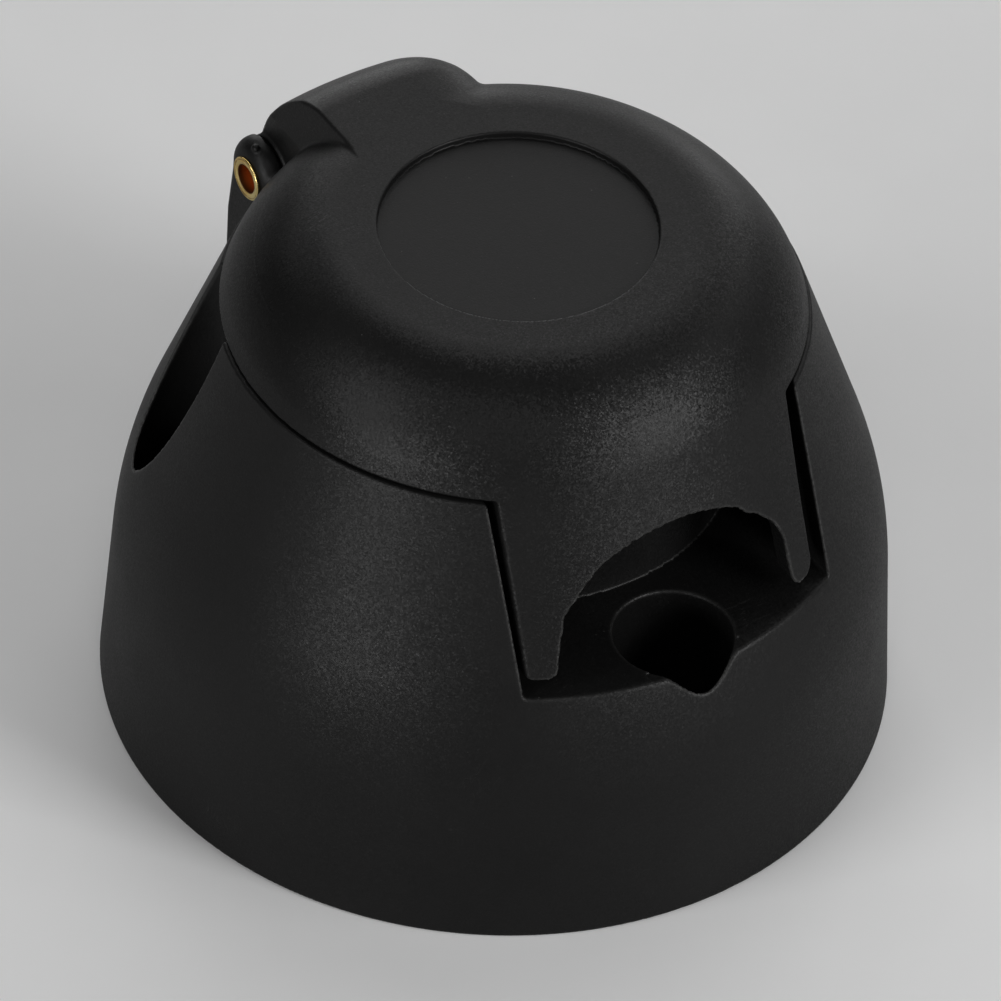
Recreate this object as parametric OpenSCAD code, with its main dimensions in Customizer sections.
// Round seven-way trailer wiring socket with a sprung, hinged cover.
// Millimetres. +Z points from the mounting face to the cover along the socket axis,
// -Y is the side with the cover's front tongue, +Y is the hinge side.
// The origin is the centre of the mounting face.

/* [Housing] */
// Radius of the skirt at the mounting face
base_r = 36.1; // [35:0.1:38]
// Radius of the housing at the cover's seam
rim_r = 26.6; // [26.2:0.1:27]
// Height of the plane where the cover's rim sits
seam_z = 43.94; // [43.5:0.01:44.5]
// Radius of the soft bend part way up the skirt
bend_r = 34.9; // [34.5:0.1:35.2]
// Height of the soft bend
bend_z = 21.1; // [18:0.1:23]
// Wall thickness of the skirt
wall = 2.4; // [2:0.1:2.8]
// Gap between the top of the housing and the cover's rim
seam_gap = 0.24; // [0.1:0.02:0.4]

/* [Socket barrel] */
// Outer radius of the barrel that takes the plug
barrel_r = 20.4; // [20.4:0.1:21]
// Bore radius of the barrel at its mouth
bore_r = 19; // [18.6:0.1:19.4]
// Width of the keyway inside the barrel
key_w = 5; // [3:0.5:7]

/* [Front window] */
// Half width of the window in the front of the skirt
win_x = 16.07; // [15.8:0.01:17]
// Height of the window's floor
win_z = 26.4; // [25.5:0.1:27]
// Thickness of the window's floor and side walls
win_t = 2.2; // [1.6:0.1:2.6]

/* [Mounting holes] */
// Pitch circle diameter of the three mounting holes
mount_pcd = 56; // [55:0.5:57]
// Diameter of the mounting holes
mount_d = 5.5; // [4.5:0.1:6]
// Diameter of the deep pockets for the screw heads
pocket_d = 10.9; // [10:0.1:12]
// Height of the seat under the screw heads
pocket_z = 12; // [8:0.5:16]

/* [Hinge] */
// Distance of the hinge axis behind the socket axis
hinge_y = 27.85; // [27.8:0.05:28.1]
// Height of the hinge axis
hinge_z = 42.1; // [41.9:0.05:42.2]
// Outer face of the ears, from the middle
ear_x = 10.8; // [10.4:0.1:12]
// Inner face of the ears, from the middle
ear_in = 8.7; // [8.6:0.1:9]
// Radius of the ears
ear_r = 3.2; // [3:0.1:3.3]
// Radius of the cover's knuckles
knuckle_r = 3.4; // [3:0.1:3.5]
// Outer radius of the tubular rivet
rivet_r = 1.75; // [1.5:0.05:1.9]
// Radius of the rivet's rolled ends
rivet_flange_r = 2.2; // [1.9:0.05:2.4]

/* [Cover] */
// Height of the cover's flat top
lid_top = 53.2; // [52.8:0.1:53.6]
// Radius of the cover's flat top
lid_flat_r = 16; // [15.4:0.1:16.6]
// Wall thickness of the cover
lid_t = 2.2; // [1.8:0.1:2.4]
// Radius of the round recess in the top
recess_r = 12.6; // [8:0.1:15]
// Depth of the round recess
recess_d = 0.6; // [0.3:0.1:1]
// Half width of the front tongue
tongue_x = 15.35; // [14.8:0.01:15.6]
// Reach of the tongue on its narrower side, +X
tongue_right = 14.5; // [14:0.1:15.4]
// Height of the tongue's lower end
tongue_z = 28; // [27.5:0.1:29]
// Radius of the arch in the tongue
arch_r = 12.6; // [11:0.1:12.8]
// Offset of the arch's centre towards -X
arch_x = 0.5; // [0:0.1:0.6]
// Half width of the hood over the hinge
hood_x = 8.4; // [8:0.1:8.45]

/* [Contacts] */
// Radius of the ring of six contacts
ring_r = 12; // [11.4:0.1:12.4]
// Outer radius of a contact
contact_r = 3.4; // [3.2:0.05:3.5]
// Bore radius of a contact
socket_r = 2.5; // [2:0.05:2.6]
// Height of the contacts' free ends
contact_z = 31; // [27:0.5:34]
// Height of the carrier's front face
carrier_z = 18; // [17:0.5:20]

/* [Hidden] */
overlap = 0.01;
through = 60; // length of long cuts that run clear of the part
short_through = 20;

// Housing
slope = (bend_r - rim_r) / (seam_z - bend_z);
low_slope = (base_r - bend_r) / bend_z;
bend_reach = 6.2; // height of the bend's curve below bend_z
bend_upper = 0.95; // height above bend_z, as a share of bend_reach
top_z = seam_z - seam_gap;
edge = 0.4; // bevel at the foot of the skirt
// Horizontal over true wall thickness, on the upper cone and round the bend
cone_skew = 1.06;
bend_skew = 1.03;
mount_angles = [270, 30, 150];
pocket_wall = 1.8;
key_depth = 0.8;
bore_step = 0.4; // the bore narrows by this below step_z
step_z = contact_z + 1.6;
narrow_r = bore_r - bore_step;
ear_foot = [22, 22]; // y and z where the ears' webs start

// Carrier and retainer, from the front back: seat, flange and plate
seat_z = 12;
flange_z = 9;
plate_z = 7;
flange_r = 20.2;
plate_r = 17.8;
carrier_r = narrow_r - 0.2;
carrier_bevel = 0.6;
pad_r = 4.8;
screw_angles = [90, 210, 330];
screw_ring_r = 23.5;
screw_hole_r = 1.7;

// Contacts
tail_r = 3.3;
tail_z = 2;
collar_r = 4.2;
terminal_z = 4.6; // height of the terminal screws
socket_depth = 13.5;
slit_depth = 10;
slit_w = 0.7;
groove_z = contact_z - 2.8; // groove for the snap ring
groove_h = 0.9;
pin_r = socket_r - 0.05;
contact_angles = [0 : 60 : 300];
contact_xy = concat([for (a = contact_angles) ring_r * [cos(a), sin(a)]], [[0, 0]]);

// Torsion spring, wound round the hinge axis
coil_r = 2.5;
wire_r = 0.4;
turns = 6.5;
end_angle = 180;
start_angle = end_angle - 360 * turns;
coil_x = -3; // the coil runs from here along +X
coil_len = 5.9;
elbow_r = 0.5; // bend from the leg along X into the coil
elbow_angle = 11.5; // turn about the hinge axis that the elbow takes up
leg_step = 0.7;
fixed_leg_step = 1.35;
steps_per_turn = 20;
wire_sides = 10;

// Cover
lid_inset = 0.17; // cover's outside, set in from the housing's cone
knuckle_in = 3.5; // inner faces of the knuckles, from the middle
seal_outer_r = 22;
seal_inner_r = 18.6;
seal_top = seam_z + 2.05;
seal_gap = 0.2;
seal_wall = 1;
seal_wall_z = seam_z + 0.36;
// Hood's side profile: y, z
hood_profile = [[12, lid_top], [21.6, lid_top], [23.25, lid_top - 0.45], [24.6, lid_top - 1.2],
    [26.5, lid_top - 2.9], [27.7, lid_top - 4.5], [28.6, lid_top - 5.9], [29.5, lid_top - 7.7],
    [29.9, seam_z + 0.5], [12, seam_z + 0.5]];

black = [0.055, 0.055, 0.06];
insert_black = [0.085, 0.085, 0.09];
brass = [0.83, 0.66, 0.32];
steel = [0.62, 0.63, 0.65];
rubber = [0.03, 0.03, 0.032];

// ---- Curves ----

// Point [r, z] on the quadratic curve through the bend, t from 0 at the foot to 1 at the top.
function bend_point(t, inset) =
    let (low = [bend_r + low_slope * bend_reach, bend_z - bend_reach],
        middle = [bend_r, bend_z],
        rise = bend_reach * bend_upper,
        high = [bend_r - slope * rise, bend_z + rise])
    (1 - t) * (1 - t) * low + 2 * t * (1 - t) * middle + t * t * high - [inset, 0];

// Radius of the upper cone at a height, less the inset.
function cone_r(z, inset) = rim_r + (seam_z - z) * slope - inset;

// Control points [r, z] of the cubic curve of the cover's shoulder.
shoulder_ctrl = [[cone_r(seam_z + 1.6, lid_inset), seam_z + 1.6],
    [cone_r(seam_z + 3.9, lid_inset), seam_z + 3.9],
    [lid_flat_r + 5.3, lid_top], [lid_flat_r, lid_top]];

function shoulder(t) =
    let (p = shoulder_ctrl)
    pow(1 - t, 3) * p[0] + 3 * t * pow(1 - t, 2) * p[1] + 3 * t * t * (1 - t) * p[2]
    + pow(t, 3) * p[3];

// Outward unit normal of the shoulder.
function shoulder_normal(t) =
    let (p = shoulder_ctrl,
        along = pow(1 - t, 2) * (p[1] - p[0]) + 2 * t * (1 - t) * (p[2] - p[1])
            + t * t * (p[3] - p[2]))
    [along[1], -along[0]] / norm(along);

// ---- Shared shapes and places ----

// A cylinder along Z that starts at height z.
module rod(r, z, h) {
    translate([0, 0, z]) cylinder(r = r, h = h);
}

// A round tube from z0 to z1.
module tube(outer_r, inner_r, z0, z1) {
    difference() {
        rod(outer_r, z0, z1 - z0);
        rod(inner_r, z0 - 1, z1 - z0 + 2);
    }
}

// Cutter that bevels the mouth of a bore.
module lead_in(r, z) {
    translate([0, 0, z]) cylinder(r1 = r - 0.02, r2 = r + 0.98, h = 1);
}

// A cylinder on the hinge axis from x0 to x1.
module hinge_cyl(r, x0, x1) {
    translate([x0, hinge_y, hinge_z]) rotate([0, 90, 0]) cylinder(r = r, h = x1 - x0);
}

module hinge_bore(r) {
    hinge_cyl(r, -short_through, short_through);
}

// Two cylinders on the hinge axis, one each side of the middle.
module hinge_pair(r, inner_x, outer_x) {
    hinge_cyl(r, -outer_x, -inner_x);
    hinge_cyl(r, inner_x, outer_x);
}

module at_polar(angles, r) {
    for (a = angles) rotate([0, 0, a]) translate([r, 0, 0]) children();
}

module at_mounts() {
    at_polar(mount_angles, mount_pcd / 2) children();
}

module at_screws() {
    at_polar(screw_angles, screw_ring_r) children();
}

// The six contacts of the ring, X pointing outwards.
module at_ring() {
    at_polar(contact_angles, ring_r) children();
}

// All seven contact axes, without turning.
module at_contacts() {
    for (p = contact_xy) translate([p[0], p[1], 0]) children();
}

// ---- Housing ----

// The solid outside of the housing.
module outside() {
    rotate_extrude() polygon(concat(
        [[0, 0], [base_r - edge, 0], [base_r - 0.02, edge]],
        [for (i = [0 : 6]) bend_point(i / 6, 0)],
        [[cone_r(top_z, 0) + 0.05, top_z - 0.45], [cone_r(top_z, 0) - 0.3, top_z], [0, top_z]]));
}

// Block in front of the axis that fills the window, grown by a margin.
module window_block(margin) {
    translate([-win_x - margin, -50, win_z - margin]) cube([2 * (win_x + margin), 50, 40]);
}

// The space inside the skirt and behind the contact carrier.
module hollow() {
    roof_z = top_z - wall;
    difference() {
        rotate_extrude() polygon(concat(
            [[0, -1], [base_r - wall, -1]],
            [for (i = [0 : 4]) bend_point(i / 4, wall * bend_skew)],
            [[cone_r(roof_z, wall * cone_skew), roof_z], [barrel_r, roof_z],
            [barrel_r, seat_z], [0, seat_z]]));
        // material left round the pockets, screws, window and hinge
        at_mounts() rod(pocket_d / 2 + pocket_wall, -2, through);
        at_screws() rod(3.3, seat_z + 0.1, 14);
        window_block(win_t);
        translate([-ear_x - 0.8, 15, 32]) cube([2 * ear_x + 1.6, 25, 20]);
    }
}

// Hinge ears and the webs below them.
module ears() {
    hinge_pair(ear_r, ear_in, ear_x);
    for (x = [-ear_x, ear_in])
        translate([x, ear_foot[0], ear_foot[1]])
            cube([ear_x - ear_in, hinge_y + ear_r - ear_foot[0] - 0.06, hinge_z - ear_foot[1]]);
}

// Barrel bore with a lead-in and a keyway.
module barrel_bore() {
    rod(narrow_r, seat_z - 1, through);
    rod(bore_r, step_z, through);
    lead_in(bore_r, top_z - 0.6);
    translate([-key_w / 2, -bore_r - key_depth, seat_z + 7]) cube([key_w, 6, through]);
}

module housing() {
    color(black) difference() {
        union() {
            outside();
            ears();
        }
        hollow();
        barrel_bore();
        // front window, up to the barrel
        difference() {
            window_block(0);
            rod(barrel_r, win_z - 1, through);
        }
        // mounting holes and their pockets
        at_mounts() {
            rod(mount_d / 2, -1, pocket_z + 2);
            rod(pocket_d / 2, pocket_z, through);
        }
        // pilot holes for the carrier's screws
        at_screws() rod(1.5, seat_z - 1, 10.5);
        // clearance for the knuckles, and the hole for the rivet
        hinge_cyl(knuckle_r + 0.4, -ear_in, ear_in);
        translate([-ear_in, hinge_y - 1, hinge_z]) cube([2 * ear_in, 8, 10]);
        hinge_bore(rivet_r + 0.05);
        // groove for the spring's fixed leg
        translate([coil_x + coil_len - 0.7, hinge_y - coil_r - 0.65, hinge_z - 6.4])
            cube([1.4, 2.4, 8]);
    }
}

// ---- Carrier and retainer ----

// A flat disc with three ears for the carrier's screws.
module eared_disc(r) {
    ear_root = 10;
    ear_w = 5.2;
    circle(r = r);
    for (a = screw_angles) rotate([0, 0, a]) {
        translate([ear_root, -ear_w / 2]) square([screw_ring_r - ear_root, ear_w]);
        translate([screw_ring_r, 0]) circle(r = 3.2);
    }
}

// The moulded disc that carries the seven contacts.
module contact_carrier() {
    color(insert_black) difference() {
        union() {
            translate([0, 0, flange_z]) linear_extrude(seat_z - flange_z) eared_disc(flange_r);
            rod(carrier_r, seat_z - overlap, carrier_z - seat_z - 0.5);
            translate([0, 0, carrier_z - carrier_bevel])
                cylinder(r1 = carrier_r, r2 = carrier_r - carrier_bevel, h = carrier_bevel);
            // a shallow pad round each contact
            at_ring() rod(pad_r, carrier_z - 1, 2.2);
            rod(pad_r, carrier_z - 1, 2.2);
        }
        // contact holes, with counterbores for the collars
        at_contacts() {
            rod(contact_r + 0.1, flange_z - 1, short_through);
            rod(collar_r + 0.2, flange_z - 1, 2.45);
        }
        at_screws() rod(screw_hole_r, 0, short_through);
        // flat on the -Y edge, in line with the barrel's keyway
        translate([-key_w / 2, -bore_r - 0.1, seat_z + 3]) cube([key_w, 1.2, 10]);
    }
}

// The rear plate that traps the contacts' collars.
module contact_retainer() {
    color(insert_black) difference() {
        translate([0, 0, plate_z]) linear_extrude(flange_z - plate_z) eared_disc(plate_r);
        at_contacts() rod(tail_r + 0.15, 0, short_through);
        at_screws() rod(screw_hole_r, 0, short_through);
    }
}

// ---- Contacts ----

// The rear half that every contact shares: collar, wire barrel and screw hole.
module contact_rear() {
    difference() {
        union() {
            rod(tail_r, tail_z, 8);
            rod(collar_r, flange_z + 0.02, 1.38);
            rod(contact_r, tail_z + 8, 7.5);
        }
        rod(1.6, tail_z - 1, 6.6);
        translate([0, 0, terminal_z]) rotate([0, 90, 0]) cylinder(r = 1.25, h = 5);
    }
}

// A split brass sleeve at angle a on the ring; its screw faces outwards.
module sleeve_contact(a) {
    front_z = 17;
    color(brass) at_polar([a], ring_r) {
        contact_rear();
        difference() {
            rod(contact_r, front_z, contact_z - front_z);
            rod(socket_r, contact_z - socket_depth, short_through);
            lead_in(socket_r, contact_z - 0.5);
            // crossed slits
            for (turn = [45, 135]) rotate([0, 0, turn])
                translate([-5, -slit_w / 2, contact_z - slit_depth])
                    cube([10, slit_w, short_through]);
            tube(contact_r + 1, contact_r - 0.3, groove_z, groove_z + groove_h);
        }
    }
}

// Numbered clockwise as seen from +Z.
module contact_1() sleeve_contact(120);
module contact_2() sleeve_contact(60);
module contact_3() sleeve_contact(0);
module contact_4() sleeve_contact(300);
module contact_5() sleeve_contact(240);
module contact_6() sleeve_contact(180);

// The solid pin in the middle; its screw faces +Y.
module contact_7_centre_pin() {
    color(brass) rotate([0, 0, 90]) {
        contact_rear();
        rod(contact_r, 17, 3);
        rod(pin_r, 19, contact_z - 19.2);
        translate([0, 0, contact_z - 0.21]) cylinder(r1 = pin_r, r2 = 1.3, h = 1.2);
    }
}

// A snap ring near the tip of each sleeve, open on its outward side.
module contact_spring_rings() {
    gap = 0.05;
    color(steel) at_ring() difference() {
        tube(contact_r + 0.35, contact_r - 0.28, groove_z + gap, groove_z + groove_h - gap);
        translate([0, -0.6, contact_z - 5]) cube([8, 1.2, 8]);
    }
}

// ---- Screws and rivet ----

// Slotted screw along X: the head's underside is at head_x, the shank points to -X.
module slotted_screw(head_x, shank_r, shank_len, head_r, head_h) {
    difference() {
        union() {
            translate([head_x - shank_len, 0, 0]) rotate([0, 90, 0])
                cylinder(r = shank_r, h = shank_len + 0.1);
            translate([head_x, 0, 0]) rotate([0, 90, 0]) cylinder(r = head_r, h = head_h);
        }
        translate([head_x + head_h - 0.7, -5, -0.3]) cube([5, 10, 0.6]);
    }
}

module terminal_screw() {
    translate([0, 0, terminal_z])
        slotted_screw(head_x = 3.35, shank_r = 1.2, shank_len = 2.4, head_r = 2, head_h = 1.6);
}

module terminal_screws() {
    color(steel) {
        at_ring() terminal_screw();
        rotate([0, 0, 90]) terminal_screw();
    }
}

module carrier_screws() {
    color(steel) at_screws() translate([0, 0, plate_z]) rotate([0, 90, 0])
        slotted_screw(head_x = 0, shank_r = 1.45, shank_len = 13, head_r = 2.6, head_h = 2.2);
}

// Brass tube through ears and knuckles, rolled over at both ends.
module hinge_rivet() {
    end_x = ear_x + 0.5;
    color(brass) difference() {
        union() {
            hinge_cyl(rivet_r, -end_x, end_x);
            hinge_pair(rivet_flange_r, ear_x + 0.02, end_x);
        }
        hinge_bore(1.4);
    }
}

// ---- Torsion spring ----

function coil_point(a, x) = [x, hinge_y + coil_r * cos(a), hinge_z + coil_r * sin(a)];

// Stations along the wire: [centre, [direction along X, direction round the coil], angle].
// A leg along X goes into a knuckle, then an elbow, the coil, and a straight leg down
// in the housing's groove.
function wire_path() =
    let (elbow_x = coil_x - elbow_r,
        coil_start = start_angle + elbow_angle,
        coil_steps = round(turns * steps_per_turn))
    concat(
        [for (i = [0 : 3])
            [coil_point(start_angle, elbow_x + (i - 3) * leg_step), [1, 0], start_angle]],
        [for (i = [1 : 4]) let (q = 22.5 * i, a = start_angle + elbow_angle * (1 - cos(q)))
            [coil_point(a, elbow_x + elbow_r * sin(q)), [cos(q), sin(q)], a]],
        [for (i = [1 : coil_steps])
            let (t = i / coil_steps, a = coil_start + (360 * turns - elbow_angle) * t)
            [coil_point(a, coil_x + coil_len * t), [0.05, 1], a]],
        [for (i = [1 : 4])
            [coil_point(end_angle, coil_x + coil_len) - [0, 0, fixed_leg_step * i],
            [0, 1], end_angle]]);

module torsion_spring() {
    path = wire_path();
    sides = wire_sides;
    last = len(path) - 1;
    points = [for (station = path)
        let (a = station[2],
            outward = [0, cos(a), sin(a)],
            around = [0, -sin(a), cos(a)],
            heading = station[1][0] * [1, 0, 0] + station[1][1] * around,
            sideways = cross(heading / norm(heading), outward))
        for (j = [0 : sides - 1])
            let (q = 360 * j / sides)
            station[0] + wire_r * (cos(q) * outward + sin(q) * sideways)];
    faces = concat(
        [[for (j = [0 : sides - 1]) j]],
        [for (i = [0 : last - 1]) for (j = [0 : sides - 1])
            let (next = (j + 1) % sides, row = i * sides, next_row = row + sides)
            [row + j, next_row + j, next_row + next, row + next]],
        [[for (j = [0 : sides - 1]) last * sides + sides - 1 - j]]);
    color(steel) polyhedron(points, faces);
}

// ---- Cover ----

// Outside of the cover and its tongue, as if the tongue went all the way round.
module lid_outer() {
    rotate_extrude() polygon(concat(
        [[0, tongue_z], [cone_r(tongue_z, lid_inset), tongue_z],
        [cone_r(seam_z, lid_inset), seam_z]],
        [for (i = [0 : 10]) shoulder(i / 10)],
        [[0, lid_top]]));
}

module lid_inner() {
    inset = lid_inset + lid_t * cone_skew;
    rotate_extrude() polygon(concat(
        [[0, tongue_z - 1], [cone_r(tongue_z - 1, inset), tongue_z - 1],
        [cone_r(seam_z, inset), seam_z]],
        [for (i = [1 : 7]) shoulder(i / 7) - lid_t * shoulder_normal(i / 7)],
        [[0, lid_top - lid_t]]));
}

module hood() {
    translate([-hood_x, 0, 0]) rotate([90, 0, 90]) linear_extrude(2 * hood_x)
        polygon(hood_profile);
}

// Everything under the rim, except the tongue.
module below_rim() {
    difference() {
        translate([-60, -60, tongue_z - 5]) cube([120, 120, seam_z - tongue_z + 5]);
        translate([-tongue_x, -60, tongue_z - 6]) cube([tongue_x + tongue_right, 60, 60]);
    }
}

module lid_shell() {
    difference() {
        union() {
            lid_outer();
            hood();
        }
        lid_inner();
        below_rim();
        rod(recess_r, lid_top - recess_d, 5);
        // arch in the tongue
        translate([-arch_x, 0, tongue_z - 0.5]) rotate([90, 0, 0])
            cylinder(r = arch_r, h = through);
        // room for the coil between the knuckles
        hinge_cyl(knuckle_r - 0.02, -knuckle_in, knuckle_in);
        translate([-knuckle_in, 20, seam_z - 1]) cube([2 * knuckle_in, 7, 1.6]);
    }
}

// Two round walls and a web that hold the seal.
module seal_holder() {
    inner = seal_inner_r - seal_gap;
    outer = seal_outer_r + seal_gap;
    tube(inner, inner - seal_wall, seal_wall_z, lid_top - 1);
    tube(outer + seal_wall, outer, seal_wall_z, lid_top - 3.9);
    tube(22.6, 17.9, seal_top + 0.01, seam_z + 3.2);
}

module lid() {
    color(black) difference() {
        union() {
            lid_shell();
            hinge_pair(knuckle_r, knuckle_in, hood_x);
            seal_holder();
            // nose that catches the plug
            translate([-3.5, -25, 41]) cube([7, 2.6, 5.5]);
        }
        hinge_bore(rivet_r + 0.07);
        // hole for the spring's moving end
        translate(coil_point(start_angle, -6)) rotate([0, 90, 0])
            cylinder(r = wire_r + 0.05, h = 2.6);
    }
}

// Flat ring with a groove in its lower face.
module lid_seal() {
    color(rubber) difference() {
        tube(seal_outer_r, seal_inner_r, seam_z - 0.19, seal_top);
        tube(20.9, 19.7, seam_z - 1, seam_z + 0.3);
    }
}

housing();
contact_carrier();
contact_retainer();
contact_1();
contact_2();
contact_3();
contact_4();
contact_5();
contact_6();
contact_7_centre_pin();
contact_spring_rings();
terminal_screws();
carrier_screws();
hinge_rivet();
torsion_spring();
lid();
lid_seal();
